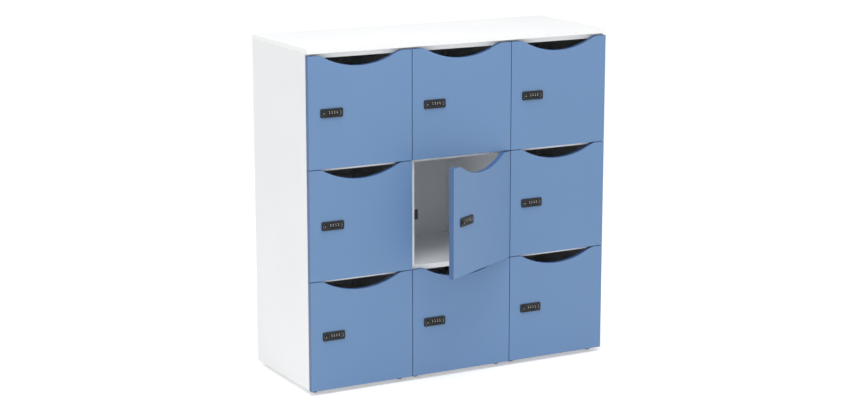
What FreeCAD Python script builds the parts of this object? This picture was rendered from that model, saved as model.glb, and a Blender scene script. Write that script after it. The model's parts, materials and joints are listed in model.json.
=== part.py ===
import FreeCAD, Part
import math
import os

import Sketcher

# A free-standing bank of nine pigeonhole lockers: three melamine columns side by side under one
# common top panel, each column with three doors.  Every door has a wave cut into its top edge,
# which leaves a slot for letters under the board above it, and a mechanical combination lock.
# Millimetres.  X runs to the right seen from the front, the doors face -Y, Z = 0 is the floor.
# The middle door stands ajar at rest.

SIZES = {
    # carcass
    "column_width": 400,        # width of one column, and the pitch of the columns
    "board": 18,                # thickness of the carcass boards and of the top panel
    "carcass_depth": 438,       # side panels, front to back
    "back_board": 8,            # thickness of the back panels
    "back_inset": 5,            # from the side panels' rear edges to the back panels
    "edge_round": 0.8,          # radius of the edge banding
    # doors
    "door_width": 398,
    "door_height": 391,
    "door_board": 18,
    "door_gap": 2,              # between neighbouring doors, both ways
    "door_standoff": 1.5,       # between a door's rear face and the carcass
    "top_gap": 7,               # between the top row of doors and the top panel
    "ajar_angle": 30,           # the middle door's angle at rest, in degrees
    "wave_flat": 32,            # straight length left at each end of a door's top edge
    "wave_depth": 42,
    "wave_shoulder": 58,        # radius of the convex shoulders of the wave
    # hinges
    "cup_bore": 35.4,           # hole in the door for a hinge cup
    "cup_diameter": 35,
    "cup_bore_depth": 12.5,
    "cup_depth": 11.5,
    "cup_inset": 22.5,          # cup centre from the door's hinged edge
    "cup_wall": 1.4,
    "cup_pin": 3,
    "cup_pin_offset": 8,        # the pin across a cup, outwards from the cup's centre
    "cup_from_end": 80,         # cup centre from the door's top and bottom
    "flange_width": 40,
    "flange_height": 58,
    "flange_sheet": 1.2,
    "arm_line": 37,             # drilling line of the mounting plates behind the carcass front
    "plate_length": 44,
    "plate_height": 50,
    "plate_sheet": 2.5,
    "arm_length": 70,
    "arm_start": 4.5,           # front end of an arm behind the carcass front
    "arm_height": 16,
    "arm_reach": 14,            # from the side panel to the arm's web
    "arm_sheet": 1.5,
    # locks
    "lock_from_edge": 87.4,     # lock centre from the door's free edge
    "lock_from_bottom": 193,
    "lock_width": 84.8,
    "lock_height": 31,
    "lock_proud": 5,            # thickness of the lock's front plate
    "lock_corner": 5,
    "lock_round": 1.6,
    "lock_body_width": 76,
    "lock_body_height": 22,
    "lock_fit": 0.3,            # clearance of the lock's body in the door
    "lock_front_wall": 3,
    "inlay_width": 76,
    "inlay_height": 23,
    "inlay_depth": 0.8,
    "cover_width": 82,
    "cover_height": 28,
    "cover_sheet": 2.5,
    "knob_offset": 28.4,        # knob axis left of the lock's centre
    "knob_diameter": 16,
    "knob_proud": 3,            # the knob's disc, in front of the inlay
    "knob_gap": 0.3,
    "grip_width": 5,
    "grip_proud": 2,
    "grip_inset": 1,
    "spindle_diameter": 8,
    "spindle_bore": 8.12,
    "cam_length": 36,
    "cam_width": 12,
    "cam_sheet": 3,
    "cam_setback": 2,           # between the lock's cover and the cam
    "dial_diameter": 16,
    "dial_width": 6.5,
    "dial_pitch": 9.5,
    "dial_first": 9.7,          # first dial left of the lock's centre
    "dial_proud": 1.5,          # how far a dial stands out of the front plate
    "dial_bore": 4.1,
    "axle_diameter": 4,
    "window_width": 7.3,
    "window_height": 15.4,
    "chamber_height": 18,
    "chamber_side": 2,          # from the outer dials to the chamber's ends
    # strikes
    "strike_height": 36,
    "strike_reach": 14,
    "strike_length": 26,
    "strike_sheet": 2,
    "strike_gap": 0.4,          # between the strike and the carcass front, measured back
    # feet and fixings
    "foot_diameter": 22,
    "foot_height": 15,
    "foot_stem": 8,
    "foot_stem_length": 14,
    "foot_chamfer": 1.5,
    "foot_side": 32,            # foot centre from the column's side
    "foot_front": 26.5,         # front feet behind the carcass front
    "foot_back": 60,            # rear feet in front of the carcass back
    "bolt_shank": 8,
    "bolt_hole": 8.2,
    "bolt_head": 16,
    "bolt_head_thick": 2,
    "bolt_front": 70,           # front bolts behind the carcass front
    "bolt_pitch": 300,          # front to back
    "bolt_low": 200,            # lower bolts above the column's underside
    "bolt_rise": 786,           # lower to upper bolts
    "screw_shank": 4,
    "screw_length": 30,
    "screw_head": 8,
    "screw_head_thick": 2,
    "screw_side": 70,           # screw from the column's side
    "screw_front": 80,          # front screws behind the carcass front
    "screw_pitch": 260,         # front to back
}
COLUMNS = 3
ROWS = 3
AJAR = (1, 1)                   # row and column of the door that stands ajar
DIALS = 4
PLACES = {0: "left", 1: "middle", 2: "right"}
LEVELS = {0: "bottom", 1: "centre", 2: "top"}

doc = FreeCAD.newDocument("pigeonhole_lockers")
sizes = doc.addObject("Spreadsheet::Sheet", "sizes")
for line, (alias, amount) in enumerate(SIZES.items(), start=1):
    sizes.set(f"A{line}", alias)
    sizes.set(f"B{line}", str(amount))
    sizes.setAlias(f"B{line}", alias)
doc.recompute()


def S(text):
    """An expression in which every word that is a cell's alias points to the sheet."""
    out, word = "", ""
    for letter in text + " ":
        if letter.isalnum() or letter == "_":
            word += letter
            continue
        out += f"sizes.{word}" if word in SIZES else word
        out += letter
        word = ""
    return f"({out.strip()})"


def value(expression):
    return float(sizes.evalExpression(expression))


# Positions of the whole in the frame, whose origin is under the middle of the bounding box.
SPREAD = S("carcass_depth + door_standoff + door_board - door_width * sin(ajar_angle * 1 deg)")
FRONT = f"(-{SPREAD} / 2)"                                  # y of the closed doors' front
CARCASS = f"({FRONT} + {S('door_board + door_standoff')})"  # y of the carcass front
LEFT = S(f"-column_width * {COLUMNS} / 2")
BASE = S("foot_height")
ROW_PITCH = S("door_height + door_gap")
TOP_PANEL = f"({BASE} + {ROW_PITCH} * {ROWS} + {S('top_gap - door_gap')})"


def column_x(column):
    return f"({LEFT} + {S('column_width')} * {column})"


def row_z(row):
    return f"({BASE} + {ROW_PITCH} * {row})"


# ---------------------------------------------------------------- modelling helpers
def new_body(name):
    body = doc.addObject("PartDesign::Body", name)
    body.Label = name
    body.AllowCompound = True
    return body


def origin_feature(body, role):
    return next(f for f in body.Origin.OriginFeatures if f.Role == role)


def place(thing, x="0", y="0", z="0", angle=None):
    thing.setExpression("Placement.Base.x", x)
    thing.setExpression("Placement.Base.y", y)
    thing.setExpression("Placement.Base.z", z)
    if angle is not None:
        # any small turn about +Z, so that the angle below has its axis
        thing.Placement.Rotation = FreeCAD.Rotation(FreeCAD.Vector(0, 0, 1), 1)
        thing.setExpression("Placement.Rotation.Angle", angle)


def new_sketch(body, role, x="0", y="0", z="0"):
    """A sketch on one of the body's origin planes, its own origin moved to x, y, z."""
    sketch = body.newObject("Sketcher::SketchObject", f"{body.Name}_sketch")
    sketch.AttachmentSupport = [(origin_feature(body, role), "")]
    sketch.MapMode = "FlatFace"
    along = {"XY_Plane": (x, y, z), "XZ_Plane": (x, z, f"-({y})"), "YZ_Plane": (y, z, x)}[role]
    for axis, expression in zip("xyz", along):
        sketch.setExpression(f"AttachmentOffset.Base.{axis}", expression)
    return sketch


def constrain(sketch, name, expression, *where):
    """A driving dimension, bound to an expression."""
    index = sketch.addConstraint(Sketcher.Constraint(name, *where, value(expression)))
    sketch.setExpression(f"Constraints[{index}]", expression)


def draw_rectangle(sketch, width, height):
    """A rectangle whose lower left corner is the sketch's origin."""
    w, h = value(width), value(height)
    corners = [FreeCAD.Vector(*p, 0) for p in ((0, 0), (w, 0), (w, h), (0, h))]
    for i in range(4):
        sketch.addGeometry(Part.LineSegment(corners[i], corners[(i + 1) % 4]))
    for i in range(4):
        sketch.addConstraint(Sketcher.Constraint("Coincident", i, 2, (i + 1) % 4, 1))
        sketch.addConstraint(Sketcher.Constraint("Horizontal" if i % 2 == 0 else "Vertical", i))
    sketch.addConstraint(Sketcher.Constraint("Coincident", 0, 1, -1, 1))
    constrain(sketch, "Distance", width, 0)
    constrain(sketch, "Distance", height, 1)


def draw_circle(sketch, diameter):
    """A circle about the sketch's origin."""
    circle = Part.Circle(FreeCAD.Vector(), FreeCAD.Vector(0, 0, 1), value(diameter) / 2)
    sketch.addGeometry(circle)
    sketch.addConstraint(Sketcher.Constraint("Coincident", 0, 3, -1, 1))
    constrain(sketch, "Diameter", diameter, 0)


def pad(body, sketch, length, flip=False):
    feature = body.newObject("PartDesign::Pad", f"{body.Name}_pad")
    feature.Profile = sketch
    feature.Reversed = flip
    feature.setExpression("Length", length)
    doc.recompute()
    return feature


def pocket(body, sketch, length, flip=False):
    """A pocket, checked to have cut something away."""
    before = body.Shape.Volume
    feature = body.newObject("PartDesign::Pocket", f"{body.Name}_pocket")
    feature.Profile = sketch
    feature.Reversed = flip
    feature.setExpression("Length", length)
    doc.recompute()
    if body.Shape.Volume >= before - 1e-3:
        raise RuntimeError(f"a pocket of {body.Name} cuts nothing")
    return feature


def repeat(body, features, *runs):
    """Features repeated along the body's axes, each run being (axis role, pitch, count)."""
    steps = []
    whole = body.newObject("PartDesign::MultiTransform", f"{body.Name}_pattern")
    for role, pitch, count in runs:
        step = body.newObject("PartDesign::LinearPattern", f"{body.Name}_run")
        step.Direction = (origin_feature(body, role), [""])
        step.setExpression("Length", f"({pitch}) * {count - 1}")
        step.Occurrences = count
        steps.append(step)
    whole.Originals = features
    whole.Transformations = steps
    body.Tip = whole
    doc.recompute()
    return whole


def round_edges(body, radius, chosen):
    """A fillet on the edges of the body's tip for which chosen(edge) is true."""
    base = body.Tip
    names = [f"Edge{i}" for i, edge in enumerate(base.Shape.Edges, start=1) if chosen(edge)]
    feature = body.newObject("PartDesign::Fillet", f"{body.Name}_fillet")
    feature.Base = (base, names)
    feature.setExpression("Radius", radius)
    body.Tip = feature
    doc.recompute()
    return feature


def lies_at(edge, axis, position):
    """True if the whole edge lies in the plane axis = position."""
    low, high = (getattr(edge.BoundBox, f"{axis}{end}") for end in ("Min", "Max"))
    return abs(low - position) < 1e-4 and abs(high - position) < 1e-4


def runs_along(edge, axis):
    box = edge.BoundBox
    spans = {"X": box.XLength, "Y": box.YLength, "Z": box.ZLength}
    return edge.Length > 1e-6 and abs(spans[axis] - edge.Length) < 1e-4


def box_body(name, width, depth, height):
    """A plain board with one corner at its own origin."""
    body = new_body(name)
    outline = new_sketch(body, "XY_Plane")
    draw_rectangle(outline, width, depth)
    pad(body, outline, height)
    return body


def disc(body, x, y, z, diameter, thickness):
    """A disc along +Y, its front face's centre at x, y, z."""
    outline = new_sketch(body, "XZ_Plane", x, y, z)
    draw_circle(outline, diameter)
    return pad(body, outline, thickness, flip=True)


def plate(body, x, y, z, width, height, thickness):
    """An upright plate facing -Y, centred on x and z, its front face at y."""
    outline = new_sketch(body, "XZ_Plane", f"{x} - {width} / 2", y, f"{z} - {height} / 2")
    draw_rectangle(outline, width, height)
    return pad(body, outline, thickness, flip=True)


def window(body, x, y, z, width, height, depth):
    """A rectangular pocket cut towards +Y from the plane y, centred on x and z."""
    outline = new_sketch(body, "XZ_Plane", f"{x} - {width} / 2", y, f"{z} - {height} / 2")
    draw_rectangle(outline, width, height)
    return pocket(body, outline, depth)


def bore(body, x, y, z, diameter, depth):
    """A round pocket cut towards +Y from the plane y."""
    outline = new_sketch(body, "XZ_Plane", x, y, z)
    draw_circle(outline, diameter)
    return pocket(body, outline, depth)


def draw_ring(sketch, outer, inner):
    """Two circles about the sketch's origin."""
    for index, diameter in enumerate((outer, inner)):
        circle = Part.Circle(FreeCAD.Vector(), FreeCAD.Vector(0, 0, 1), value(diameter) / 2)
        sketch.addGeometry(circle)
        sketch.addConstraint(Sketcher.Constraint("Coincident", index, 3, -1, 1))
        constrain(sketch, "Diameter", diameter, index)


def draw_profile(sketch, points):
    """A closed outline of straight lines through points right of or above the sketch's origin."""
    spots = [FreeCAD.Vector(value(x), value(y), 0) for x, y in points]
    count = len(points)
    for i in range(count):
        sketch.addGeometry(Part.LineSegment(spots[i], spots[(i + 1) % count]))
    for i, (x, y) in enumerate(points):
        sketch.addConstraint(Sketcher.Constraint("Coincident", i - 1 if i else count - 1, 2, i, 1))
        for name, axis, expression in (("DistanceX", -2, x), ("DistanceY", -1, y)):
            if value(expression) == 0:
                sketch.addConstraint(Sketcher.Constraint("PointOnObject", i, 1, axis))
            else:
                constrain(sketch, name, expression, -1, 1, i, 1)


def draw_pill(sketch, width, height):
    """A slot shape about the sketch's origin, as long as width, its ends half circles."""
    half, radius = value(width) / 2 - value(height) / 2, value(height) / 2
    up = FreeCAD.Vector(0, 0, 1)
    for side, start in ((1, -math.pi / 2), (-1, math.pi / 2)):
        circle = Part.Circle(FreeCAD.Vector(side * half, 0, 0), up, radius)
        sketch.addGeometry(Part.ArcOfCircle(circle, start, start + math.pi))
    top = FreeCAD.Vector(half, radius, 0), FreeCAD.Vector(-half, radius, 0)
    bottom = FreeCAD.Vector(-half, -radius, 0), FreeCAD.Vector(half, -radius, 0)
    sketch.addGeometry(Part.LineSegment(*top))
    sketch.addGeometry(Part.LineSegment(*bottom))
    for first, end, second, start in ((0, 2, 2, 1), (2, 2, 1, 1), (1, 2, 3, 1), (3, 2, 0, 1)):
        sketch.addConstraint(Sketcher.Constraint("Tangent", first, end, second, start))
    sketch.addConstraint(Sketcher.Constraint("Horizontal", 2))
    sketch.addConstraint(Sketcher.Constraint("Symmetric", 0, 3, 1, 3, -1, 1))
    constrain(sketch, "Distance", f"{width} - {height}", 0, 3, 1, 3)
    constrain(sketch, "Radius", f"{height} / 2", 0)


def group(name, *members):
    """Several separate solids that make one node."""
    whole = doc.addObject("Part::Compound", name)
    whole.Label = name
    whole.Links = list(members)
    doc.recompute()
    return whole


# ---------------------------------------------------------------- carcass
COLUMN_HEIGHT = f"({TOP_PANEL} - {BASE})"


def make_top_panel():
    depth = S("carcass_depth + door_standoff + door_board")
    body = box_body("top_panel", S(f"column_width * {COLUMNS}"), depth, S("board"))
    round_edges(body, S("edge_round"), lambda edge: True)
    place(body, LEFT, FRONT, TOP_PANEL)
    return body


def make_side_panel(column, side):
    """A side panel.  Where two columns meet it is drilled for the connecting bolts."""
    body = box_body(f"side_panel_{PLACES[column]}_{side}", S("board"), S("carcass_depth"), COLUMN_HEIGHT)
    meets = column > 0 if side == "left" else column < COLUMNS - 1
    if meets:
        hole = new_sketch(body, "YZ_Plane", S("board"), S("bolt_front"), S("bolt_low"))
        draw_circle(hole, S("bolt_hole"))
        cut = pocket(body, hole, S("board"))
        repeat(body, [cut], ("Y_Axis", S("bolt_pitch"), 2), ("Z_Axis", S("bolt_rise"), 2))
    shortest = value(S("board")) / 2
    round_edges(body, S("edge_round"), lambda edge: lies_at(edge, "Y", 0) and edge.Length > shortest)
    offset = "0" if side == "left" else S("column_width - board")
    place(body, f"{column_x(column)} + {offset}", CARCASS, BASE)
    return body


def make_cross_boards(column):
    """A column's bottom, its two shelves and its top, which are the same board."""
    name = f"cross_boards_{PLACES[column]}"
    half_gap = S("(board + door_gap) / 2")
    depth = S("carcass_depth - back_board - back_inset")
    heights = ["0"] + [f"{ROW_PITCH} * {row} - {half_gap}" for row in range(1, ROWS)]
    heights.append(f"{COLUMN_HEIGHT} - {S('board')}")
    boards = []
    for height in heights:
        board = box_body(f"{name}_board", S("column_width - 2 * board"), depth, S("board"))
        round_edges(board, S("edge_round"), lambda edge: lies_at(edge, "Y", 0) and runs_along(edge, "X"))
        place(board, S("board"), "0", height)
        boards.append(board)
    whole = group(name, *boards)
    place(whole, column_x(column), CARCASS, BASE)
    return whole


def make_back_panel(column):
    body = box_body(
        f"back_panel_{PLACES[column]}", S("column_width - 2 * board"), S("back_board"), COLUMN_HEIGHT
    )
    y = f"{CARCASS} + {S('carcass_depth - back_board - back_inset')}"
    place(body, f"{column_x(column)} + {S('board')}", y, BASE)
    return body


def make_feet():
    """Levelling feet, four to a column, their stems screwed up into the bottom boards."""
    body = new_body("levelling_feet")
    outline = new_sketch(body, "XZ_Plane")
    rim, stem = S("foot_diameter / 2"), S("foot_stem / 2")
    draw_profile(
        outline,
        (
            ("0", "0"),
            (f"{rim} - {S('foot_chamfer')}", "0"),
            (rim, S("foot_chamfer")),
            (rim, S("foot_height - 2 * foot_chamfer")),
            (S("foot_stem"), S("foot_height")),
            (stem, S("foot_height")),
            (stem, S("foot_height + foot_stem_length")),
            ("0", S("foot_height + foot_stem_length")),
        ),
    )
    turned = body.newObject("PartDesign::Revolution", "levelling_foot")
    turned.Profile = outline
    turned.ReferenceAxis = (outline, ["V_Axis"])
    turned.Angle = 360
    doc.recompute()
    repeat(
        body,
        [turned],
        ("X_Axis", S("column_width - 2 * foot_side"), 2),
        ("X_Axis", S("column_width"), COLUMNS),
        ("Y_Axis", S("carcass_depth - foot_front - foot_back"), 2),
    )
    place(body, f"{LEFT} + {S('foot_side')}", f"{CARCASS} + {S('foot_front')}", "0")
    return body


def make_column_bolts():
    """The bolts that join neighbouring columns through their side panels."""
    body = new_body("column_bolts")
    pads = []
    for start, diameter, length in (
        (S("-board - bolt_head_thick"), S("bolt_head"), S("bolt_head_thick")),
        (S("-board"), S("bolt_shank"), S("2 * board")),
        (S("board"), S("bolt_head"), S("bolt_head_thick")),
    ):
        outline = new_sketch(body, "YZ_Plane", x=start)
        draw_circle(outline, diameter)
        pads.append(pad(body, outline, length))
    repeat(
        body,
        pads,
        ("X_Axis", S("column_width"), COLUMNS - 1),
        ("Y_Axis", S("bolt_pitch"), 2),
        ("Z_Axis", S("bolt_rise"), 2),
    )
    place(body, column_x(1), f"{CARCASS} + {S('bolt_front')}", f"{BASE} + {S('bolt_low')}")
    return body


def make_top_screws():
    """The screws that hold the common top panel, driven up through the columns' top boards."""
    body = new_body("top_screws")
    pads = []
    for start, diameter, length in (
        (S("-screw_head_thick"), S("screw_head"), S("screw_head_thick")),
        ("0", S("screw_shank"), S("screw_length")),
    ):
        outline = new_sketch(body, "XY_Plane", z=start)
        draw_circle(outline, diameter)
        pads.append(pad(body, outline, length))
    repeat(
        body,
        pads,
        ("X_Axis", S("column_width - 2 * screw_side"), 2),
        ("X_Axis", S("column_width"), COLUMNS),
        ("Y_Axis", S("screw_pitch"), 2),
    )
    height = f"{TOP_PANEL} - {S('board')}"
    place(body, f"{LEFT} + {S('screw_side')}", f"{CARCASS} + {S('screw_front')}", height)
    return body


# ---------------------------------------------------------------- hinges and strikes on the carcass
def make_hinge_arms():
    """The fixed halves of the concealed hinges: a mounting plate and an arm each, the arm's web inwards."""
    body = new_body("hinge_arms")
    base = new_sketch(
        body, "XY_Plane", S("-plate_sheet"), S("arm_line - plate_length / 2"), S("-plate_height / 2")
    )
    draw_rectangle(base, S("plate_sheet"), S("plate_length"))
    pads = [pad(body, base, S("plate_height"))]
    channel = new_sketch(body, "XZ_Plane", S("-arm_reach"), S("arm_start"), S("-arm_height / 2"))
    reach, wall = S("arm_reach - plate_sheet"), S("arm_sheet")
    high, inner = S("arm_height"), S("arm_height - arm_sheet")
    draw_profile(
        channel,
        (
            ("0", "0"),
            (reach, "0"),
            (reach, wall),
            (wall, wall),
            (wall, inner),
            (reach, inner),
            (reach, high),
            ("0", high),
        ),
    )
    pads.append(pad(body, channel, S("arm_length"), flip=True))
    repeat(
        body,
        pads,
        ("X_Axis", S("column_width"), COLUMNS),
        ("Z_Axis", S("door_height - 2 * cup_from_end"), 2),
        ("Z_Axis", ROW_PITCH, ROWS),
    )
    place(body, f"{LEFT} + {S('column_width - board')}", CARCASS, f"{BASE} + {S('cup_from_end')}")
    return body


def make_lock_strikes():
    """Angle plates on the left side panels, which the locks' cams turn in behind."""
    body = new_body("lock_strikes")
    angle = new_sketch(body, "XY_Plane", "0", S("strike_gap"), S("-strike_height / 2"))
    sheet, reach, length = S("strike_sheet"), S("strike_reach"), S("strike_length")
    draw_profile(
        angle,
        (("0", "0"), (reach, "0"), (reach, sheet), (sheet, sheet), (sheet, length), ("0", length)),
    )
    plate_pad = pad(body, angle, S("strike_height"))
    repeat(body, [plate_pad], ("X_Axis", S("column_width"), COLUMNS), ("Z_Axis", ROW_PITCH, ROWS))
    place(body, f"{LEFT} + {S('board')}", CARCASS, f"{BASE} + {S('lock_from_bottom')}")
    return body


# ---------------------------------------------------------------- doors and what they carry
# A door and its parts share one frame: x from the door's free edge to its hinged edge, y = 0 at
# its front face, z = 0 at its underside.
LOCK_X = S("lock_from_edge")
LOCK_Z = S("lock_from_bottom")
LOCK_FACE = S("-lock_proud")
KNOB_X = S("lock_from_edge - knob_offset")
DIAL_X = S("lock_from_edge - dial_first")
AXLE_Y = S("dial_diameter / 2 - lock_proud - dial_proud")
CHAMBER_WIDTH = S(f"dial_pitch * {DIALS - 1} + dial_width + 2 * chamber_side")
CHAMBER_X = f"({DIAL_X} + {S('dial_pitch')} * {(DIALS - 1) / 2})"


def place_on_door(thing, row, column):
    angle = S("ajar_angle") if (row, column) == AJAR else "0"
    hinge_x = f"{column_x(column)} + {S('column_width - door_gap / 2')}"
    width = S("door_width")
    place(
        thing,
        f"{hinge_x} - {width} * cos({angle} * 1 deg)",
        f"{FRONT} - {width} * sin({angle} * 1 deg)",
        row_z(row),
        angle,
    )
    return thing


def draw_door_outline(sketch):
    """The door's outline, its top edge dipping in a wave of three tangent arcs."""
    valley = S("((door_width / 2 - wave_flat) ^ 2 + wave_depth ^ 2) / (2 * wave_depth) - wave_shoulder")
    w, h, flat = value(S("door_width")), value(S("door_height")), value(S("wave_flat"))
    depth, r1, r2 = value(S("wave_depth")), value(S("wave_shoulder")), value(valley)
    turn = math.atan2(w / 2 - flat, r1 + r2 - depth)
    up = FreeCAD.Vector(0, 0, 1)

    def line(x0, y0, x1, y1):
        sketch.addGeometry(Part.LineSegment(FreeCAD.Vector(x0, y0, 0), FreeCAD.Vector(x1, y1, 0)))

    def arc(x, y, radius, start, end):
        circle = Part.Circle(FreeCAD.Vector(x, y, 0), up, radius)
        sketch.addGeometry(Part.ArcOfCircle(circle, start, end))

    line(0, 0, w, 0)
    line(w, 0, w, h)
    line(w, h, w - flat, h)
    arc(w - flat, h - r1, r1, math.pi / 2, math.pi / 2 + turn)
    arc(w / 2, h - depth + r2, r2, 1.5 * math.pi - turn, 1.5 * math.pi + turn)
    arc(flat, h - r1, r1, math.pi / 2 - turn, math.pi / 2)
    line(flat, h, 0, h)
    line(0, h, 0, 0)
    for first, second in ((0, 1), (1, 2), (6, 7), (7, 0)):
        sketch.addConstraint(Sketcher.Constraint("Coincident", first, 2, second, 1))
    for first, end, second, start in ((2, 2, 3, 1), (3, 2, 4, 2), (4, 1, 5, 1), (5, 2, 6, 1)):
        sketch.addConstraint(Sketcher.Constraint("Tangent", first, end, second, start))
    for level in (0, 2, 6):
        sketch.addConstraint(Sketcher.Constraint("Horizontal", level))
    for upright in (1, 7):
        sketch.addConstraint(Sketcher.Constraint("Vertical", upright))
    sketch.addConstraint(Sketcher.Constraint("Coincident", 0, 1, -1, 1))
    sketch.addConstraint(Sketcher.Constraint("Equal", 2, 6))
    constrain(sketch, "Distance", S("door_width"), 0)
    constrain(sketch, "Distance", S("door_height"), 1)
    constrain(sketch, "Distance", S("wave_flat"), 2)
    constrain(sketch, "Radius", S("wave_shoulder"), 3)
    constrain(sketch, "Radius", valley, 4)


def make_door(name):
    """A door panel, bored from behind for its two hinge cups and cut through for its lock."""
    body = new_body(name)
    outline = new_sketch(body, "XZ_Plane")
    draw_door_outline(outline)
    pad(body, outline, S("door_board"), flip=True)
    thick = value(S("door_board"))
    round_edges(body, S("edge_round"), lambda edge: lies_at(edge, "Y", 0) or lies_at(edge, "Y", thick))
    cup = new_sketch(body, "XZ_Plane", S("door_width - cup_inset"), S("door_board"), S("cup_from_end"))
    draw_circle(cup, S("cup_bore"))
    cut = pocket(body, cup, S("cup_bore_depth"), flip=True)
    repeat(body, [cut], ("Z_Axis", S("door_height - 2 * cup_from_end"), 2))
    window(body, LOCK_X, "0", LOCK_Z, S("lock_body_width"), S("lock_body_height"), S("door_board"))
    return body


def make_hinge_cups(name):
    """The moving halves of the two hinges: a cup with a flange, and the pin across it."""
    body = new_body(name)
    x, z = S("door_width - cup_inset"), S("cup_from_end")
    rear = S("door_board")
    pads = [plate(body, x, rear, z, S("flange_width"), S("flange_height"), S("flange_sheet"))]
    pads.append(disc(body, x, S("door_board - cup_depth"), z, S("cup_diameter"), S("cup_depth")))
    hollow = new_sketch(body, "XZ_Plane", x, S("door_board + flange_sheet"), z)
    draw_circle(hollow, S("cup_diameter - 2 * cup_wall"))
    pads.append(pocket(body, hollow, S("cup_depth + flange_sheet - cup_wall"), flip=True))
    pin_x = S("door_width - cup_inset + cup_pin_offset")
    half_pin = S("sqrt((cup_diameter / 2 - cup_wall / 2) ^ 2 - (cup_pin_offset + cup_pin / 2) ^ 2)")
    pin = new_sketch(body, "XY_Plane", pin_x, S("door_board - cup_depth / 2"), f"{z} - {half_pin}")
    draw_circle(pin, S("cup_pin"))
    pads.append(pad(body, pin, f"2 * {half_pin}"))
    repeat(body, pads, ("Z_Axis", S("door_height - 2 * cup_from_end"), 2))
    return body


def make_dials(name, count, first=0):
    """Numbered wheels on the lock's axle, first being how many stand to their left."""
    body = new_body(name)
    start = f"{DIAL_X} + {S('dial_pitch')} * {first} - {S('dial_width')} / 2"
    outline = new_sketch(body, "YZ_Plane", start, AXLE_Y, LOCK_Z)
    draw_ring(outline, S("dial_diameter"), S("dial_bore"))
    wheel = pad(body, outline, S("dial_width"))
    if count > 1:
        repeat(body, [wheel], ("X_Axis", S("dial_pitch"), count))
    return body


def make_lock_case(name):
    """The lock's front plate and body in one, with a window for each dial and a chamber behind."""
    body = new_body(name)
    plate(body, LOCK_X, LOCK_FACE, LOCK_Z, S("lock_width"), S("lock_height"), S("lock_proud"))
    round_edges(body, S("lock_corner"), lambda edge: runs_along(edge, "Y"))
    face = value(LOCK_FACE)
    round_edges(body, S("lock_round"), lambda edge: lies_at(edge, "Y", face))
    inside = S("lock_body_width - 2 * lock_fit"), S("lock_body_height - 2 * lock_fit")
    plate(body, LOCK_X, "0", LOCK_Z, *inside, S("door_board"))
    inlay = new_sketch(body, "XZ_Plane", LOCK_X, LOCK_FACE, LOCK_Z)
    draw_pill(inlay, S("inlay_width"), S("inlay_height"))
    pocket(body, inlay, S("inlay_depth"))
    chamber_low = S("lock_from_bottom - chamber_height / 2")
    chamber = new_sketch(
        body, "XZ_Plane", f"{CHAMBER_X} - {CHAMBER_WIDTH} / 2", S("door_board"), chamber_low
    )
    draw_rectangle(chamber, CHAMBER_WIDTH, S("chamber_height"))
    pocket(body, chamber, S("door_board + lock_proud - lock_front_wall"), flip=True)
    slot = window(body, DIAL_X, LOCK_FACE, LOCK_Z, S("window_width"), S("window_height"), S("lock_proud"))
    repeat(body, [slot], ("X_Axis", S("dial_pitch"), DIALS))
    bore(body, KNOB_X, LOCK_FACE, LOCK_Z, S("spindle_bore"), S("lock_proud + door_board"))
    return body


def make_lock_housing(name, with_dials):
    """Everything in a lock that stays still on the door, and its dials where they share the node."""
    case = make_lock_case(f"{name}_case")
    cover = new_body(f"{name}_cover")
    plate(cover, LOCK_X, S("door_board"), LOCK_Z, S("cover_width"), S("cover_height"), S("cover_sheet"))
    bore(cover, KNOB_X, S("door_board"), LOCK_Z, S("spindle_bore"), S("cover_sheet"))
    axle = new_body(f"{name}_axle")
    line = new_sketch(axle, "YZ_Plane", f"{CHAMBER_X} - {CHAMBER_WIDTH} / 2", AXLE_Y, LOCK_Z)
    draw_circle(line, S("axle_diameter"))
    pad(axle, line, CHAMBER_WIDTH)
    members = [case, cover, axle]
    if with_dials:
        members.append(make_dials(f"{name}_dials", DIALS))
    return group(name, *members)


def make_lock_knob(name):
    """The turning knob with its finger grip, its spindle through the door, and the cam behind."""
    body = new_body(name)
    back = S("inlay_depth - lock_proud - knob_gap")
    front = S("inlay_depth - lock_proud - knob_gap - knob_proud")
    disc(body, KNOB_X, front, LOCK_Z, S("knob_diameter"), S("knob_proud"))
    rim = value(front)
    round_edges(body, S("edge_round"), lambda edge: lies_at(edge, "Y", rim))
    grip_front = f"{front} - {S('grip_proud')}"
    grip_length = S("knob_diameter - 2 * grip_inset")
    plate(body, KNOB_X, grip_front, LOCK_Z, grip_length, S("grip_width"), S("grip_proud"))
    grip_face = value(grip_front)
    round_edges(body, S("edge_round"), lambda edge: lies_at(edge, "Y", grip_face))
    cam_y = S("door_board + cover_sheet + cam_setback")
    disc(body, KNOB_X, back, LOCK_Z, S("spindle_diameter"), f"{cam_y} + {S('cam_sheet')} - {back}")
    cam_z = S("lock_from_bottom - cam_length / 2 + cam_width / 4")
    plate(body, KNOB_X, cam_y, cam_z, S("cam_width"), S("cam_length + cam_width / 2"), S("cam_sheet"))
    return body


# ---------------------------------------------------------------- the assembly
nodes = [make_top_panel(), make_feet(), make_column_bolts(), make_top_screws()]
nodes += [make_hinge_arms(), make_lock_strikes()]
for column in range(COLUMNS):
    nodes += [make_side_panel(column, "left"), make_side_panel(column, "right")]
    nodes += [make_cross_boards(column), make_back_panel(column)]
for row in range(ROWS):
    for column in range(COLUMNS):
        where = f"{LEVELS[row]}_{PLACES[column]}"
        loose_dials = (row, column) == AJAR
        carried = [
            make_door(f"door_{where}"),
            make_hinge_cups(f"hinge_cups_{where}"),
            make_lock_housing(f"lock_housing_{where}", not loose_dials),
            make_lock_knob(f"lock_knob_{where}"),
        ]
        if loose_dials:
            carried += [make_dials(f"lock_dial_{n + 1}", 1, n) for n in range(DIALS)]
        nodes += [place_on_door(part, row, column) for part in carried]
doc.recompute()

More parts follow.
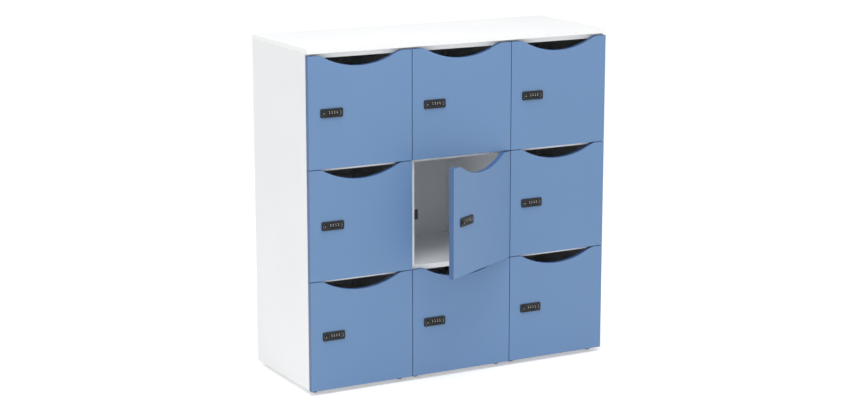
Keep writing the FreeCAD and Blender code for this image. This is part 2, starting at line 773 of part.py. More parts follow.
for thing in doc.Objects:
    if {"Invalid", "Error"} & set(thing.State):
        raise RuntimeError(f"{thing.Label} did not recompute: {thing.State}")
for node in nodes:
    if node.Shape.isNull() or not node.Shape.isValid():
        raise RuntimeError(f"{node.Label} has no valid shape")
os.makedirs("parts", exist_ok=True)
for node in nodes:
    node.Shape.exportStep(f"parts/{node.Label}.step")
print(len(nodes), "nodes;", sum(len(node.Shape.Solids) for node in nodes), "solids")
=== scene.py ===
import bmesh
import bpy
import json
import math
from mathutils import Matrix, Vector


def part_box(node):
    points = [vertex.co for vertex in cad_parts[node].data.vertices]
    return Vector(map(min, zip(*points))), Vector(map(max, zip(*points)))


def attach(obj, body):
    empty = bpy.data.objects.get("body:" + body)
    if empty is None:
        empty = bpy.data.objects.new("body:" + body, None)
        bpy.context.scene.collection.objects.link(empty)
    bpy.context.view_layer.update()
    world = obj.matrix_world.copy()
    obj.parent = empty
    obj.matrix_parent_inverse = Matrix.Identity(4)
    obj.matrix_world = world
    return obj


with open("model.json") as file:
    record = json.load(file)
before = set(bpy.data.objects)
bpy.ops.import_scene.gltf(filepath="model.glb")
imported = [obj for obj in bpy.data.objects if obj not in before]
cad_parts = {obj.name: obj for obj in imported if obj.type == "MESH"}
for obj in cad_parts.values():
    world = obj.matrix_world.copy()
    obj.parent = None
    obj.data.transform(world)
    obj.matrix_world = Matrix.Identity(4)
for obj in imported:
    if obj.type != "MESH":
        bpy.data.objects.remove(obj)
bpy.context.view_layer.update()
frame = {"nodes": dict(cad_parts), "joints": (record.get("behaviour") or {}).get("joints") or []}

# The looks of a cabinet of nine pigeonhole lockers.  Metres.  The carcass, doors, locks and hinges
# are the frame's own nodes with finished materials.  What is added here is what those leave out:
# the printing on the dials and knobs, screws, buffers, trims and grips, and light grey arcs painted
# as highlights on the ends of each lock's inlay.

MM = 0.001
LEVELS = ("bottom", "centre", "top")
PLACES = ("left", "middle", "right")
WHERE = [f"{level}_{place}" for level in LEVELS for place in PLACES]
AJAR = "centre_middle"
JOINTS = {joint["name"]: joint for joint in frame["joints"]}
DIALS = 4
DIGITS = 10


# ---------------------------------------------------------------- places, worked out from the frame
def size_of(node):
    low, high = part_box(node)
    return high - low


DOOR_LOW, DOOR_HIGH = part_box("door_bottom_left")
DOOR_WIDTH = DOOR_HIGH.x - DOOR_LOW.x
DOOR_DEPTH = DOOR_HIGH.y - DOOR_LOW.y
DOOR_HEIGHT = DOOR_HIGH.z - DOOR_LOW.z


def door_matrix(where):
    """A door's own frame: x from its free edge to its hinges, y from front to rear, z up."""
    inward = Vector(JOINTS[f"knob_turn_{where}"]["axis"])
    along = Vector((inward.y, -inward.x, 0))
    corner = Vector(JOINTS[f"door_hinge_{where}"]["pos_m"]) - along * DOOR_WIDTH
    corner.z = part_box(f"door_{where}")[0].z
    columns = Matrix((along, inward, Vector((0, 0, 1)))).transposed()
    return Matrix.Translation(corner) @ columns.to_4x4()


DOORS = {where: door_matrix(where) for where in WHERE}


def in_door(node):
    """A node of the bottom left door, as a box in that door's own frame."""
    low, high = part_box(node)
    return low - DOOR_LOW, high - DOOR_LOW


def points_on_door(node, where):
    """A node's mesh points in the frame of the door it is on."""
    piece = frame["nodes"][node]
    to_door = DOORS[where].inverted() @ piece.matrix_world
    return [to_door @ vert.co for vert in piece.data.vertices]


LOCK_LOW, LOCK_HIGH = in_door("lock_housing_bottom_left")
LOCK = (LOCK_LOW + LOCK_HIGH) / 2
# The ajar door's housing carries no dials, so its foremost point is the front plate's face.
LOCK_FACE = min(point.y for point in points_on_door(f"lock_housing_{AJAR}", AJAR))
INLAY_DEPTH = 0.8 * MM
INLAY_FACE = LOCK_FACE + INLAY_DEPTH
INLAY_SIZE = (76 * MM, 23 * MM)
COVER_FACE = LOCK_HIGH.y
KNOB_LOW, KNOB_HIGH = in_door("lock_knob_bottom_left")
KNOB_RADIUS = (KNOB_HIGH.x - KNOB_LOW.x) / 2          # at rest the cam is narrower than the disc
KNOB = DOORS["bottom_left"].inverted() @ Vector(JOINTS["knob_turn_bottom_left"]["pos_m"])
DIAL_CENTRES = [
    DOORS[AJAR].inverted() @ Vector(JOINTS[f"dial_turn_{n + 1}"]["pos_m"]) for n in range(DIALS)
]
DIAL_WIDTH = 6.5 * MM
DIAL_RADIUS = size_of("lock_dial_1").z / 2
CUPS_LOW, CUPS_HIGH = in_door("hinge_cups_bottom_left")
CUP_X = (CUPS_LOW.x + CUPS_HIGH.x) / 2
FLANGE_HALF = 29 * MM
CUP_HEIGHTS = (CUPS_LOW.z + FLANGE_HALF, CUPS_HIGH.z - FLANGE_HALF)


# ---------------------------------------------------------------- materials
class Surface:
    """A material being built: its node tree, its main shader, and the nodes added to it."""

    def __init__(self, name, roughness, metallic=0.0, specular=0.5):
        self.material = bpy.data.materials.new(name)
        self.material.use_nodes = True
        self.nodes = self.material.node_tree.nodes
        self.links = self.material.node_tree.links
        self.shader = self.nodes["Principled BSDF"]
        self.shader.inputs["Metallic"].default_value = metallic
        self.shader.inputs["Roughness"].default_value = roughness
        self.shader.inputs["Specular IOR Level"].default_value = specular
        self.place = self.nodes.new("ShaderNodeTexCoord").outputs["Object"]
        self.height = None

    def stretched(self, scale):
        mapping = self.nodes.new("ShaderNodeMapping")
        mapping.inputs["Scale"].default_value = scale
        self.links.new(self.place, mapping.inputs["Vector"])
        return mapping.outputs["Vector"]

    def noise(self, size, detail=3.0, stretch=(1, 1, 1)):
        """Noise whose blobs are about size metres across."""
        texture = self.nodes.new("ShaderNodeTexNoise")
        texture.inputs["Scale"].default_value = 1 / size
        texture.inputs["Detail"].default_value = detail
        self.links.new(self.stretched(stretch), texture.inputs["Vector"])
        return texture.outputs["Fac"]

    def cells(self, size):
        texture = self.nodes.new("ShaderNodeTexVoronoi")
        texture.inputs["Scale"].default_value = 1 / size
        self.links.new(self.place, texture.inputs["Vector"])
        return texture.outputs["Distance"]

    def ramp(self, source, stops):
        """source turned into colours, stops being (position, colour)."""
        ramp = self.nodes.new("ShaderNodeValToRGB")
        elements = ramp.color_ramp.elements
        while len(elements) < len(stops):
            elements.new(0.5)
        for element, (position, colour) in zip(elements, stops):
            element.position = position
            element.color = (*colour, 1)
        self.links.new(source, ramp.inputs["Fac"])
        return ramp.outputs["Color"]

    def blend(self, how, amount, first, second):
        mix = self.nodes.new("ShaderNodeMix")
        mix.data_type = "RGBA"
        mix.blend_type = how
        mix.inputs["Factor"].default_value = amount
        self.links.new(first, mix.inputs[6])
        self.links.new(second, mix.inputs[7])
        return mix.outputs[2]

    def colour(self, source):
        self.links.new(source, self.shader.inputs["Base Color"])

    def rough(self, source, low, high):
        spread = self.nodes.new("ShaderNodeMapRange")
        spread.inputs["To Min"].default_value = low
        spread.inputs["To Max"].default_value = high
        self.links.new(source, spread.inputs["Value"])
        self.links.new(spread.outputs["Result"], self.shader.inputs["Roughness"])

    def bump(self, source, depth, strength=1.0):
        """Adds relief on top of any already there, depth being in metres."""
        bump = self.nodes.new("ShaderNodeBump")
        bump.inputs["Strength"].default_value = strength
        bump.inputs["Distance"].default_value = depth
        self.links.new(source, bump.inputs["Height"])
        if self.height is not None:
            self.links.new(self.height, bump.inputs["Normal"])
        self.height = bump.outputs["Normal"]
        self.links.new(self.height, self.shader.inputs["Normal"])


def linear(red, green, blue):
    """A colour given as 0 to 255 display values, as a shader takes it."""
    def one(v):
        v /= 255
        return v / 12.92 if v <= 0.04045 else ((v + 0.055) / 1.055) ** 2.4
    return one(red), one(green), one(blue)


def shade(colour, factor):
    return tuple(min(1.0, part * factor) for part in colour)


def melamine(name, colour, roughness):
    """Melamine-faced board: a very even print with a fine pearl grain and slight cloudiness."""
    surface = Surface(name, roughness)
    cloud = surface.noise(260 * MM, 2)
    fleck = surface.noise(0.9 * MM, 2)
    clouds = surface.ramp(cloud, [(0.3, shade(colour, 0.985)), (0.7, shade(colour, 1.015))])
    flecks = surface.ramp(fleck, [(0.35, (0.95, 0.95, 0.95)), (0.65, (1, 1, 1))])
    surface.colour(surface.blend("MULTIPLY", 0.5, clouds, flecks))
    surface.rough(surface.noise(35 * MM), roughness - 0.05, roughness + 0.06)
    surface.bump(surface.cells(0.8 * MM), 0.02 * MM, 0.35)
    surface.bump(surface.noise(3.5 * MM), 0.03 * MM, 0.25)
    return surface.material


def edge_band(name, colour, roughness):
    """Plastic edging: smoother than the board, with the faint long ripple of its glue line."""
    surface = Surface(name, roughness)
    ripple = surface.noise(9 * MM, 2)
    surface.colour(surface.ramp(ripple, [(0.3, shade(colour, 0.97)), (0.7, shade(colour, 1.03))]))
    surface.rough(surface.noise(14 * MM), roughness - 0.06, roughness + 0.05)
    surface.bump(ripple, 0.05 * MM, 0.3)
    return surface.material


def plated_steel(name, colour, roughness, streak):
    """Pressed and plated steel, with fine drawing lines and a blotchy plating."""
    surface = Surface(name, roughness, metallic=1.0)
    lines = surface.noise(0.5 * MM, 2, streak)
    blotch = surface.noise(6 * MM)
    tone = surface.ramp(blotch, [(0.3, shade(colour, 0.86)), (0.7, shade(colour, 1.08))])
    line_tone = surface.ramp(lines, [(0.3, (0.88, 0.88, 0.88)), (0.7, (1, 1, 1))])
    surface.colour(surface.blend("MULTIPLY", 0.6, tone, line_tone))
    surface.rough(lines, roughness - 0.08, roughness + 0.12)
    surface.bump(lines, 0.02 * MM, 0.5)
    return surface.material


def moulded_plastic(name, colour, roughness, grain):
    """Moulded plastic with a spark-eroded grain, rubbed slightly smoother in places."""
    surface = Surface(name, roughness)
    wear = surface.noise(7 * MM, 2)
    fine = surface.noise(grain, 4)
    surface.colour(surface.ramp(wear, [(0.3, shade(colour, 0.82)), (0.7, shade(colour, 1.2))]))
    surface.rough(wear, roughness - 0.08, roughness + 0.08)
    surface.bump(fine, 0.03 * MM, 0.5)
    return surface.material


def print_ink(name, colour):
    """Pad-printed ink, slightly uneven in cover."""
    surface = Surface(name, 0.5)
    cover = surface.noise(0.35 * MM, 2)
    surface.colour(surface.ramp(cover, [(0.25, shade(colour, 0.78)), (0.55, colour)]))
    surface.bump(cover, 0.01 * MM, 0.4)
    return surface.material


def soft_buffer():
    """Clear silicone, clouded by its thickness."""
    surface = Surface("buffer_silicone", 0.25, specular=0.4)
    haze = surface.noise(1.5 * MM, 2)
    surface.colour(surface.ramp(haze, [(0.3, (0.62, 0.64, 0.65)), (0.7, (0.74, 0.76, 0.77))]))
    surface.shader.inputs["Transmission Weight"].default_value = 0.35
    surface.rough(haze, 0.2, 0.32)
    return surface.material


FLOOR_SEEN = 0.3                 # what the floor gives off, to the camera
FLOOR_LIGHTING = 0.08            # and to the object


def seen_or_not(tree, seen, unseen):
    """One strength for what the camera sees and another, a number or a socket, for lighting."""
    path = tree.nodes.new("ShaderNodeLightPath")
    spread = tree.nodes.new("ShaderNodeMapRange")
    if isinstance(unseen, bpy.types.NodeSocket):
        tree.links.new(unseen, spread.inputs["To Min"])
    else:
        spread.inputs["To Min"].default_value = unseen
    spread.inputs["To Max"].default_value = seen
    tree.links.new(path.outputs["Is Camera Ray"], spread.inputs["Value"])
    return spread.outputs["Result"]


def studio_floor():
    surface = Surface("floor", 0.85, specular=0.1)
    cloud = surface.noise(1.5, 2)
    surface.colour(surface.ramp(cloud, [(0.3, (0.94, 0.94, 0.94)), (0.7, (0.96, 0.96, 0.96))]))
    surface.shader.inputs["Emission Color"].default_value = (1, 1, 1, 1)
    glow = seen_or_not(surface.material.node_tree, FLOOR_SEEN, FLOOR_LIGHTING)
    surface.links.new(glow, surface.shader.inputs["Emission Strength"])
    return surface.material


WHITE = linear(240, 241, 242)
BLUE = linear(108, 143, 186)
WHITE_BOARD = melamine("white_melamine", WHITE, 0.42)
WHITE_EDGE = edge_band("white_edging", linear(246, 247, 247), 0.36)
BLUE_BOARD = melamine("blue_melamine", BLUE, 0.4)
BLUE_EDGE = edge_band("blue_edging", linear(72, 104, 152), 0.36)
HINGE_STEEL = plated_steel("nickel_steel", (0.62, 0.61, 0.59), 0.28, (1, 1, 14))
FIXING_STEEL = plated_steel("zinc_steel", (0.6, 0.61, 0.63), 0.34, (1, 14, 1))
STRIKE_COAT = moulded_plastic("strike_coating", linear(50, 50, 54), 0.45, 0.5 * MM)
LOCK_PLASTIC = moulded_plastic("lock_plastic", linear(20, 22, 26), 0.36, 0.25 * MM)
KNOB_PLASTIC = moulded_plastic("knob_plastic", linear(15, 16, 18), 0.28, 0.2 * MM)
DIAL_PLASTIC = moulded_plastic("dial_plastic", linear(26, 27, 30), 0.33, 0.2 * MM)
FOOT_PLASTIC = moulded_plastic("foot_plastic", linear(26, 26, 27), 0.5, 0.4 * MM)
WHITE_INK = print_ink("white_ink", linear(238, 236, 226))
# The light grey of the lock arcs is a painted highlight of the inlay's rounded ends, not printing.
HIGHLIGHT_GREY = print_ink("highlight_grey_paint", linear(190, 192, 196))
BUFFER = soft_buffer()


def dress(node, *materials, choose=lambda normal: 0):
    """Gives a node its materials, choose(normal) picking one by number for each face."""
    mesh = frame["nodes"][node].data
    mesh.materials.clear()
    for material in materials:
        mesh.materials.append(material)
    for face in mesh.polygons:
        face.material_index = choose(face.normal)


FLAT = 0.9                       # a face counts as facing a way if its normal is this close to it


def dress_carcass():
    dress("top_panel", WHITE_BOARD, WHITE_EDGE, choose=lambda n: 0 if abs(n.z) > FLAT else 1)
    for place in PLACES:
        dress(
            f"cross_boards_{place}", WHITE_BOARD, WHITE_EDGE, choose=lambda n: int(n.y < -0.5)
        )
        dress(f"back_panel_{place}", WHITE_BOARD)
        for side in ("left", "right"):
            dress(
                f"side_panel_{place}_{side}", WHITE_BOARD, WHITE_EDGE,
                choose=lambda n: 0 if abs(n.x) > FLAT else 1,
            )
    dress("levelling_feet", FOOT_PLASTIC)
    dress("column_bolts", FIXING_STEEL)
    dress("top_screws", FIXING_STEEL)
    dress("hinge_arms", HINGE_STEEL)
    dress("lock_strikes", STRIKE_COAT)


def dress_doors():
    for where in WHERE:
        inward = DOORS[where].col[1].to_3d()
        dress(
            f"door_{where}", BLUE_BOARD, BLUE_EDGE,
            choose=lambda n, inward=inward: 0 if abs(n.dot(inward)) > FLAT else 1,
        )
        dress(f"hinge_cups_{where}", HINGE_STEEL)
        dress(f"lock_housing_{where}", LOCK_PLASTIC)
        dress(f"lock_knob_{where}", KNOB_PLASTIC)
    for n in range(DIALS):
        dress(f"lock_dial_{n + 1}", DIAL_PLASTIC)


# ---------------------------------------------------------------- mesh helpers
def finish_mesh(bm, name, material, smooth=True):
    bmesh.ops.recalc_face_normals(bm, faces=bm.faces)
    mesh = bpy.data.meshes.new(name)
    bm.to_mesh(mesh)
    bm.free()
    mesh.materials.append(material)
    if smooth:
        mesh.shade_smooth()
        mesh.set_sharp_from_angle(angle=math.radians(35))
    return mesh


def add_piece(name, mesh, matrix, body):
    piece = bpy.data.objects.new(name, mesh)
    bpy.context.scene.collection.objects.link(piece)
    piece.matrix_world = matrix
    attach(piece, body)
    return piece


def toward(centre, outward):
    """A matrix at centre whose +Z is outward."""
    turn = Vector(outward).to_track_quat("Z", "Y").to_matrix().to_4x4()
    return Matrix.Translation(centre) @ turn


def stack_rings(bm, rings, matrix):
    """A closed skin through rings of the same number of points each, capped at both ends."""
    rows = [[bm.verts.new(matrix @ Vector(point)) for point in ring] for ring in rings]
    count = len(rows[0])
    for lower, upper in zip(rows, rows[1:]):
        for i in range(count):
            j = (i + 1) % count
            bm.faces.new((lower[i], lower[j], upper[j], upper[i]))
    bm.faces.new(rows[0][::-1])
    bm.faces.new(rows[-1])


RING = 24


def ring_points(radius, z):
    """RING points about the z axis, radius being a number or a function of the angle."""
    points = []
    for i in range(RING):
        angle = 2 * math.pi * i / RING
        r = radius(angle) if callable(radius) else radius
        points.append((r * math.cos(angle), r * math.sin(angle), z))
    return points


def hexagon(size):
    """A hexagon's radius at an angle, size being half its width across the flats."""
    sixth = math.pi / 3
    return lambda angle: size / math.cos(angle % sixth - sixth / 2)


def cross_slot(length, width):
    """A cross's radius at an angle: two bars, length long from the centre and width wide."""
    def radius(angle):
        c, s = max(abs(math.cos(angle)), 1e-6), max(abs(math.sin(angle)), 1e-6)
        return max(min(length / c, width / 2 / s), min(length / s, width / 2 / c))
    return radius


def screw(bm, centre, outward, radius, height, recess):
    """A screw head with a rounded rim and a recess of the given outline, standing on a surface."""
    matrix = toward(centre, outward)
    rim = height * 0.45
    rings = [
        ring_points(radius, 0),
        ring_points(radius, height - rim),
        ring_points(radius - rim * 0.3, height - rim * 0.3),
        ring_points(radius - rim, height),
        ring_points(recess, height),
        ring_points(recess, height * 0.35),
    ]
    stack_rings(bm, rings, matrix)


def dome(bm, centre, outward, radius, height):
    matrix = toward(centre, outward)
    steps = 6
    rings = []
    for i in range(steps):
        turn = math.pi / 2 * i / steps
        rings.append(ring_points(radius * math.cos(turn), height * math.sin(turn)))
    rings.append(ring_points(radius * 0.08, height))
    stack_rings(bm, rings, matrix)


def collar(bm, centre, outward, inner, outer, height):
    """A raised ring with a rounded top, standing on a surface."""
    matrix = toward(centre, outward)
    profile = [(outer, 0), (outer, height * 0.6), (outer - height * 0.4, height),
               (inner + height * 0.4, height), (inner, height * 0.6), (inner, 0)]
    rows = [[bm.verts.new(matrix @ Vector(p)) for p in ring_points(r, z)] for r, z in profile]
    for k in range(len(rows)):
        lower, upper = rows[k], rows[(k + 1) % len(rows)]
        for i in range(RING):
            j = (i + 1) % RING
            bm.faces.new((lower[i], lower[j], upper[j], upper[i]))


def slab(bm, low, high, matrix=Matrix.Identity(4), soften=0.0):
    """A block between two corners, its edges softened by that much."""
    made = bmesh.ops.create_cube(bm, size=1)["verts"]
    low, high = Vector(low), Vector(high)
    size, centre = high - low, (low + high) / 2
    for vert in made:
        vert.co = Vector(v * s for v, s in zip(vert.co, size)) + centre
    if soften:
        edges = list({edge for vert in made for edge in vert.link_edges})
        cut = bmesh.ops.bevel(bm, geom=edges, offset=soften, segments=2, affect="EDGES")
        made = list({vert for face in cut["faces"] for vert in face.verts} | {
            vert for vert in made if vert.is_valid})
    for vert in made:
        vert.co = matrix @ vert.co


# ---------------------------------------------------------------- what the locks carry
INK = 0.06 * MM                  # thickness of printed ink
DIGIT_HEIGHT = 3.7 * MM
DIGIT_STRETCH = 1.25             # the figures are a little wider than the font's
RIB_HEIGHT = 0.22 * MM
RIB_WIDTH = 0.5 * MM
RIGHT_ARC_INSET = 3.2 * MM       # from the inlay's rim to the arcs painted as highlights; the left one has to pass between the rim and the knob's collar
LEFT_ARC_INSET = 0.4 * MM        # pass between the rim and the knob's collar


def glyph(text):
    """A figure as a flat mesh one unit tall, centred on its own middle."""
    curve = bpy.data.curves.new("glyph", "FONT")
    curve.body = text
    curve.resolution_u = 2
    curve.extrude = 0.5
    holder = bpy.data.objects.new("glyph", curve)
    mesh = bpy.data.meshes.new_from_object(holder)
    bpy.data.objects.remove(holder)
    bpy.data.curves.remove(curve)
    xs, ys = [v.co.x for v in mesh.vertices], [v.co.y for v in mesh.vertices]
    middle, foot, tall = (min(xs) + max(xs)) / 2, min(ys), max(ys) - min(ys)
    for vert in mesh.vertices:
        vert.co.x = (vert.co.x - middle) / tall
        vert.co.y = (vert.co.y - foot) / tall - 0.5
    return mesh


def wrap_figures(bm, centre, meshes):
    """The ten figures printed round one dial, the first facing the front."""
    for number, mesh in enumerate(meshes):
        made = bmesh.new()
        made.from_mesh(mesh)
        turn = -2 * math.pi * number / DIGITS
        for vert in made.verts:
            angle = turn + vert.co.y * DIGIT_HEIGHT / DIAL_RADIUS
            radius = DIAL_RADIUS + (INK if vert.co.z > 0 else -INK)
            x = vert.co.x * DIGIT_HEIGHT * DIGIT_STRETCH
            vert.co = centre + Vector((x, -radius * math.cos(angle), radius * math.sin(angle)))
        bmesh.ops.remove_doubles(made, verts=made.verts, dist=0.004 * MM)
        done = bpy.data.meshes.new("figure")
        made.to_mesh(done)
        made.free()
        bm.from_mesh(done)
        bpy.data.meshes.remove(done)


def add_ribs(bm, centre):
    """Finger grips round a dial, one between each two figures."""
    half = DIAL_WIDTH / 2 - 0.4 * MM
    for number in range(DIGITS):
        angle = 2 * math.pi * (number + 0.5) / DIGITS
        turn = Matrix.Translation(centre) @ Matrix.Rotation(angle, 4, "X")
        low = (-half, -DIAL_RADIUS - RIB_HEIGHT, -RIB_WIDTH / 2)
        high = (half, -DIAL_RADIUS + RIB_HEIGHT, RIB_WIDTH / 2)
        slab(bm, low, high, turn, soften=0.08 * MM)


def make_dial_pieces():
    meshes = [glyph(str(number)) for number in range(DIGITS)]
    singles = []
    for centre in DIAL_CENTRES:
        figures, ribs = bmesh.new(), bmesh.new()
        wrap_figures(figures, centre, meshes)
        add_ribs(ribs, centre)
        singles.append((
            finish_mesh(figures, "dial_figures", WHITE_INK, smooth=False),
            finish_mesh(ribs, "dial_ribs", DIAL_PLASTIC),
        ))
    for n, (figures, ribs) in enumerate(singles):
        body = f"dial_{n + 1}"
        add_piece(f"dial_figures_{AJAR}_{n + 1}", figures, DOORS[AJAR], body)
        add_piece(f"dial_ribs_{AJAR}_{n + 1}", ribs, DOORS[AJAR], body)
    joined = []
    for kind in range(2):
        whole = bmesh.new()
        for pair in singles:
            whole.from_mesh(pair[kind])
        material, smooth = ((WHITE_INK, False), (DIAL_PLASTIC, True))[kind]
        joined.append(finish_mesh(whole, "dials_joined", material, smooth))
    for where in WHERE:
        if where != AJAR:
            add_piece(f"dial_figures_{where}", joined[0], DOORS[where], f"door_{where}")
            add_piece(f"dial_ribs_{where}", joined[1], DOORS[where], f"door_{where}")


def arc_strip(bm, centre, radius, width, height, middle, half_turn, steps=14):
    """A raised line along part of a circle in the lock's face."""
    rows = []
    for i in range(steps + 1):
        angle = middle - half_turn + 2 * half_turn * i / steps
        c, s = math.cos(angle), math.sin(angle)
        row = []
        for r, y in ((radius - width / 2, 0), (radius - width / 2, -height),
                     (radius + width / 2, -height), (radius + width / 2, 0)):
            row.append(bm.verts.new(centre + Vector((r * c, y, r * s))))
        rows.append(row)
    for first, second in zip(rows, rows[1:]):
        for i in range(4):
            j = (i + 1) % 4
            bm.faces.new((first[i], first[j], second[j], second[i]))
    bm.faces.new(rows[0])
    bm.faces.new(rows[-1][::-1])


def lock_arcs():
    """Two light grey arcs at the inlay's ends: painted highlights of its rounded rim."""
    bm = bmesh.new()
    radius = INLAY_SIZE[1] / 2
    for side, middle, inset in ((1, 0, RIGHT_ARC_INSET), (-1, math.pi, LEFT_ARC_INSET)):
        x = LOCK.x + side * (INLAY_SIZE[0] / 2 - radius)
        centre = Vector((x, INLAY_FACE, LOCK.z))
        arc_strip(bm, centre, radius - inset, 0.6 * MM, 0.12 * MM, middle, math.radians(58))
    return finish_mesh(bm, "lock_arcs", HIGHLIGHT_GREY, smooth=False)


def knob_collar():
    bm = bmesh.new()
    centre = Vector((KNOB.x, INLAY_FACE, KNOB.z))
    collar(bm, centre, (0, -1, 0), KNOB_RADIUS + 0.15 * MM, KNOB_RADIUS + 0.6 * MM, 0.4 * MM)
    return finish_mesh(bm, "knob_collar", LOCK_PLASTIC)


def knob_pointer():
    """The white arrow on the knob's grip, pointing away from the dials."""
    bm = bmesh.new()
    tip, root, half = KNOB_RADIUS - 1.3 * MM, 2 * MM, 1.6 * MM
    face = KNOB_LOW.y
    outline = [(-tip, 0), (-root, half), (-root - 0.9 * MM, 0), (-root, -half)]
    rings = []
    for y in (face + INK, face - INK):
        rings.append([(KNOB.x + x, y, KNOB.z + z) for x, z in outline])
    stack_rings(bm, rings, Matrix.Identity(4))
    return finish_mesh(bm, "knob_pointer", WHITE_INK, smooth=False)


def cam_screw():
    bm = bmesh.new()
    centre = Vector((KNOB.x, KNOB_HIGH.y, KNOB.z))
    screw(bm, centre, (0, 1, 0), 4.2 * MM, 2.4 * MM, cross_slot(2.2 * MM, 0.8 * MM))
    return finish_mesh(bm, "cam_screw", FIXING_STEEL)


def cover_screws():
    bm = bmesh.new()
    for side in (-1, 1):
        x = LOCK.x + side * 37 * MM
        screw(bm, Vector((x, COVER_FACE, LOCK.z + 9 * MM)), (0, 1, 0), 2.4 * MM, 1 * MM,
              cross_slot(1.5 * MM, 0.55 * MM))
    return finish_mesh(bm, "cover_screws", FIXING_STEEL)


def flange_screws():
    bm = bmesh.new()
    for middle in CUP_HEIGHTS:
        for side in (-1, 1):
            centre = Vector((CUP_X, CUPS_HIGH.y, middle + side * 24 * MM))
            screw(bm, centre, (0, 1, 0), 3.4 * MM, 0.28 * MM, cross_slot(2 * MM, 0.75 * MM))
    return finish_mesh(bm, "flange_screws", FIXING_STEEL)


def door_buffers():
    bm = bmesh.new()
    for height in (22 * MM, DOOR_HEIGHT - 22 * MM):
        dome(bm, Vector((8 * MM, DOOR_DEPTH, height)), (0, 1, 0), 4 * MM, 1.2 * MM)
    return finish_mesh(bm, "door_buffers", BUFFER)


def make_lock_pieces():
    # The lock arcs are light grey strips that paint the highlights on the inlay's rounded ends.
    on_door = (
        ("lock_arcs", lock_arcs(), None), ("knob_collar", knob_collar(), "lock_black"),
        ("cover_screws", cover_screws(), "fixing_steel"),
        ("flange_screws", flange_screws(), "fixing_steel"), ("door_buffers", door_buffers(), None),
    )
    on_knob = (("knob_pointer", knob_pointer(), None), ("cam_screw", cam_screw(), "fixing_steel"))
    for where in WHERE:
        for name, mesh, slot in on_door:
            add_piece(f"{name}_{where}", mesh, DOORS[where], f"door_{where}")
        for name, mesh, slot in on_knob:
            add_piece(f"{name}_{where}", mesh, DOORS[where], f"knob_{where}")


# ---------------------------------------------------------------- what the carcass carries
COLUMN = size_of("top_panel").x / len(PLACES)
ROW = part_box("door_centre_left")[0].z - DOOR_LOW.z
CARCASS_LOW, CARCASS_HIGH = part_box("side_panel_left_left")
BOARD = CARCASS_HIGH.x - CARCASS_LOW.x
PLATE_DEPTH = 37 * MM            # the hinge plates' middle, behind the carcass front
PLATE_THICK = 2.5 * MM
ARM_REACH = 14 * MM


def plate_screws():
    """The screws of one column's hinge plates, above and below each arm, and the arm's own two."""
    bm = bmesh.new()
    wall = CARCASS_LOW.x + COLUMN - BOARD
    for row in range(len(LEVELS)):
        for middle in CUP_HEIGHTS:
            z = CARCASS_LOW.z + ROW * row + middle
            y = CARCASS_LOW.y + PLATE_DEPTH
            for side in (-1, 1):
                centre = Vector((wall - PLATE_THICK, y, z + side * 18 * MM))
                screw(bm, centre, (-1, 0, 0), 4 * MM, 1.6 * MM, cross_slot(2.3 * MM, 0.8 * MM))
            for along in (-14 * MM, 16 * MM):
                centre = Vector((wall - ARM_REACH, y + along, z))
                screw(bm, centre, (-1, 0, 0), 3 * MM, 0.9 * MM, cross_slot(1.9 * MM, 0.7 * MM))
    return finish_mesh(bm, "plate_screws", FIXING_STEEL)


def strike_screws():
    """The screws of one column's strikes, on the leg that lies against the side panel."""
    bm = bmesh.new()
    low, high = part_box("lock_strikes")
    x = CARCASS_LOW.x + BOARD + 2 * MM
    for row in range(len(LEVELS)):
        for side in (-1, 1):
            z = CARCASS_LOW.z + ROW * row + LOCK.z + side * 11 * MM
            centre = Vector((x, (low.y + high.y) / 2 + 3 * MM, z))
            screw(bm, centre, (1, 0, 0), 3 * MM, 1.1 * MM, cross_slot(1.9 * MM, 0.7 * MM))
    return finish_mesh(bm, "strike_screws", FIXING_STEEL)


def bolt_sockets():
    """The raised rim and hexagon socket on each end of the column bolts."""
    bm = bmesh.new()
    low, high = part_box("column_bolts")
    half_head = 8 * MM
    for y in (low.y + half_head, high.y - half_head):
        for z in (low.z + half_head, high.z - half_head):
            for n in range(1, len(PLACES)):
                seam = CARCASS_LOW.x + COLUMN * n
                for side in (-1, 1):
                    centre = Vector((seam + side * (BOARD + 2 * MM), y, z))
                    screw(bm, centre, (side, 0, 0), 6.2 * MM, 0.9 * MM, hexagon(2.5 * MM))
    return finish_mesh(bm, "bolt_sockets", FIXING_STEEL)


def back_screws():
    """The screws round one back panel, in the rebate behind the carcass."""
    bm = bmesh.new()
    low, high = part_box("back_panel_left")
    inset = 12 * MM
    for x in (low.x + inset, high.x - inset):
        for step in range(6):
            z = low.z + inset + (high.z - low.z - 2 * inset) * step / 5
            screw(bm, Vector((x, high.y, z)), (0, 1, 0), 3.6 * MM, 1.5 * MM,
                  cross_slot(2.1 * MM, 0.75 * MM))
    return finish_mesh(bm, "back_screws", FIXING_STEEL)


def foot_grips():
    """Upright ribs round each foot's rim, for turning it by hand."""
    bm = bmesh.new()
    low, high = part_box("levelling_feet")
    radius = 11 * MM
    rib_count = 16
    xs = []
    for n in range(len(PLACES)):
        xs += [low.x + radius + COLUMN * n, high.x - radius - COLUMN * (len(PLACES) - 1 - n)]
    for x in xs:
        for y in (low.y + radius, high.y - radius):
            for i in range(rib_count):
                turn = Matrix.Rotation(2 * math.pi * i / rib_count, 4, "Z")
                matrix = Matrix.Translation((x, y, 0)) @ turn
                corner = (radius - 0.3 * MM, -0.6 * MM, 3 * MM)
                slab(bm, corner, (radius + 0.5 * MM, 0.6 * MM, 10.5 * MM), matrix, soften=0.2 * MM)
    return finish_mesh(bm, "foot_grips", FOOT_PLASTIC)


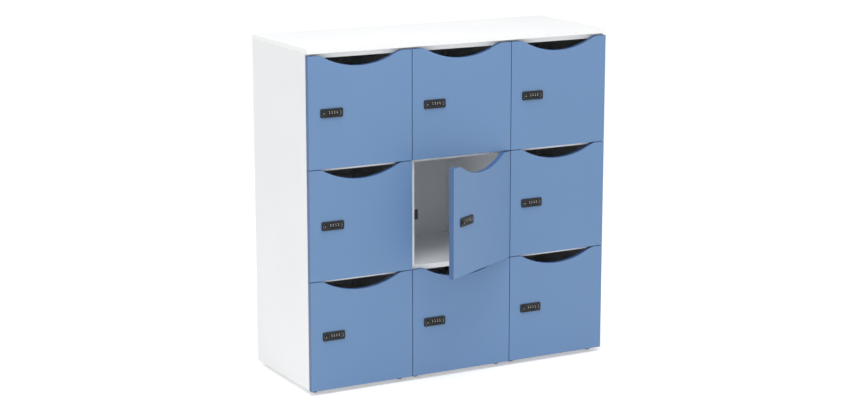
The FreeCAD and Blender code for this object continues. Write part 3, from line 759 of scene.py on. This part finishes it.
def make_carcass_pieces():
    plates, strikes, backs = plate_screws(), strike_screws(), back_screws()
    for n, place in enumerate(PLACES):
        across = Matrix.Translation((COLUMN * n, 0, 0))
        add_piece(f"plate_screws_{place}", plates, across, "root")
        add_piece(f"strike_screws_{place}", strikes, across, "root")
        add_piece(f"back_screws_{place}", backs, across, "root")
    add_piece("bolt_sockets", bolt_sockets(), Matrix.Identity(4), "root")
    add_piece("foot_grips", foot_grips(), Matrix.Identity(4), "root")


# ---------------------------------------------------------------- studio
FLOOR_SIZE = 120
SKY_SEEN = 1.0                   # the background's strength, to the camera
SKY_LEFT, SKY_RIGHT = 0.98, 0.58  # and as light, fading from the object's left to its right
CAMERA_AZIMUTH = -28.65          # from straight in front, towards the object's left
CAMERA_HEIGHT = 12.09            # above the horizon, in degrees
CAMERA_DISTANCE = 7.2
CAMERA_LENS = 85.1
CAMERA_TARGET = Vector((-0.116, -0.104, 0.628))


def make_floor():
    bm = bmesh.new()
    bmesh.ops.create_grid(bm, x_segments=1, y_segments=1, size=FLOOR_SIZE / 2)
    mesh = bpy.data.meshes.new("studio_floor")
    bm.to_mesh(mesh)
    bm.free()
    mesh.materials.append(studio_floor())
    floor = bpy.data.objects.new("studio_floor", mesh)
    bpy.context.scene.collection.objects.link(floor)


def add_light(name, azimuth, elevation, distance, size, power):
    """A square softbox aimed at the cabinet's middle."""
    light = bpy.data.lights.new(name, "AREA")
    light.size = size
    light.energy = power
    lamp = bpy.data.objects.new(name, light)
    a, e = math.radians(azimuth), math.radians(elevation)
    away = Vector((math.sin(a) * math.cos(e), -math.cos(a) * math.cos(e), math.sin(e)))
    lamp.location = Vector((0, 0, 0.6)) + away * distance
    lamp.rotation_mode = "QUATERNION"
    lamp.rotation_quaternion = away.to_track_quat("Z", "Y")
    bpy.context.scene.collection.objects.link(lamp)


def make_studio():
    make_floor()
    add_light("key_high", -22, 68, 3.8, 1.8, 60)
    world = bpy.data.worlds.new("studio")
    world.use_nodes = True
    background = world.node_tree.nodes["Background"]
    background.inputs["Color"].default_value = (1, 1, 1, 1)
    tree = world.node_tree
    direction = tree.nodes.new("ShaderNodeTexCoord").outputs["Generated"]
    split = tree.nodes.new("ShaderNodeSeparateXYZ")
    tree.links.new(direction, split.inputs["Vector"])
    across = tree.nodes.new("ShaderNodeMapRange")
    for name, amount in (
        ("From Min", -1), ("From Max", 1), ("To Min", SKY_LEFT), ("To Max", SKY_RIGHT)
    ):
        across.inputs[name].default_value = amount
    tree.links.new(split.outputs["X"], across.inputs["Value"])
    strength = seen_or_not(tree, SKY_SEEN, across.outputs["Result"])
    tree.links.new(strength, background.inputs["Strength"])
    bpy.context.scene.world = world
    bpy.context.scene.view_settings.view_transform = "Standard"


def make_camera():
    camera = bpy.data.cameras.new("camera")
    camera.lens = CAMERA_LENS
    camera.sensor_width = 36
    camera.clip_end = 200
    holder = bpy.data.objects.new("camera", camera)
    a, e = math.radians(CAMERA_AZIMUTH), math.radians(CAMERA_HEIGHT)
    away = Vector((math.sin(a) * math.cos(e), -math.cos(a) * math.cos(e), math.sin(e)))
    holder.location = CAMERA_TARGET + away * CAMERA_DISTANCE
    holder.rotation_mode = "QUATERNION"
    holder.rotation_quaternion = away.to_track_quat("Z", "Y")
    bpy.context.scene.collection.objects.link(holder)
    bpy.context.scene.camera = holder


dress_carcass()
dress_doors()
make_dial_pieces()
make_lock_pieces()
make_carcass_pieces()
make_studio()
make_camera()
